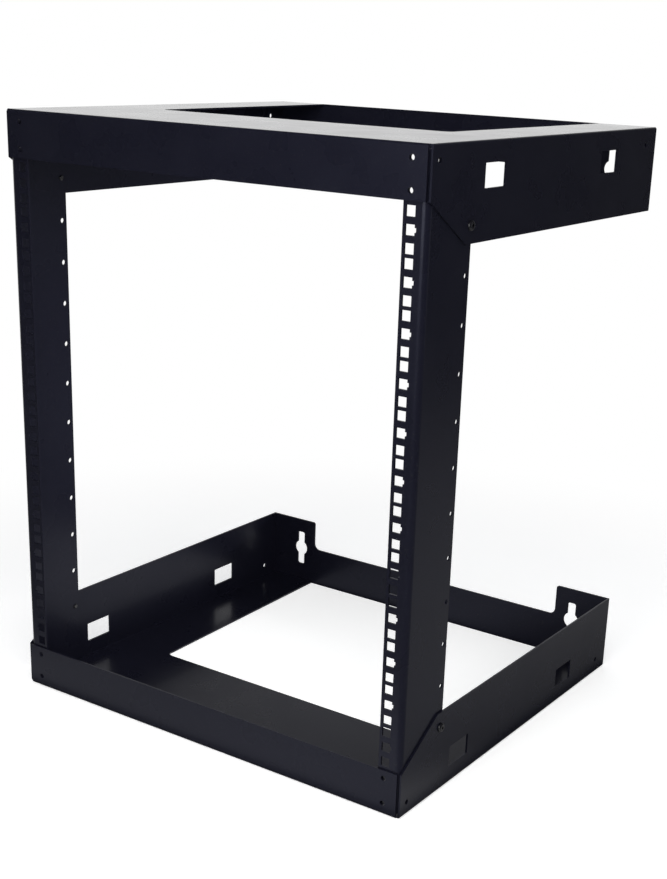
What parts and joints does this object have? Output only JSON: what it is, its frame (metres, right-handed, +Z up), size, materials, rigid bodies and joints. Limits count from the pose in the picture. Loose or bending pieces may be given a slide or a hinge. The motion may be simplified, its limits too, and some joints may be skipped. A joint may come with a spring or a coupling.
{
  "type": "wall mount open frame rack",
  "caption": "Open frame equipment rack of folded black sheet steel: two trays with keyholed wall tabs, joined by two uprights with square-holed rails.",
  "frame": {"origin": "centre of the footprint, on the plane the rack stands on", "axes": "+X to the right seen from the front, +Y from the front towards the wall, +Z up"},
  "size_m": [0.504, 0.46, 0.6324],
  "materials": {
    "powder_coat": "satin black powder coat"
  },
  "bodies": {
    "root": {"bottom_front_deck": "powder_coat", "bottom_left_strip": "powder_coat", "bottom_right_strip": "powder_coat", "bottom_front_bend": "powder_coat", "bottom_left_bend": "powder_coat", "bottom_right_bend": "powder_coat", "bottom_back_bend": "powder_coat", "bottom_front_skirt": "powder_coat", "bottom_left_skirt": "powder_coat", "bottom_right_skirt": "powder_coat", "bottom_back_skirt": "powder_coat", "top_front_deck": "powder_coat", "top_left_strip": "powder_coat", "top_right_strip": "powder_coat", "top_front_bend": "powder_coat", "top_left_bend": "powder_coat", "top_right_bend": "powder_coat", "top_back_bend": "powder_coat", "top_front_skirt": "powder_coat", "top_left_skirt": "powder_coat", "top_right_skirt": "powder_coat", "top_back_skirt": "powder_coat", "left_rail": "powder_coat", "left_rail_bend": "powder_coat", "left_side_plate": "powder_coat", "right_rail": "powder_coat", "right_rail_bend": "powder_coat", "right_side_plate": "powder_coat"}
  },
  "joints": []
}
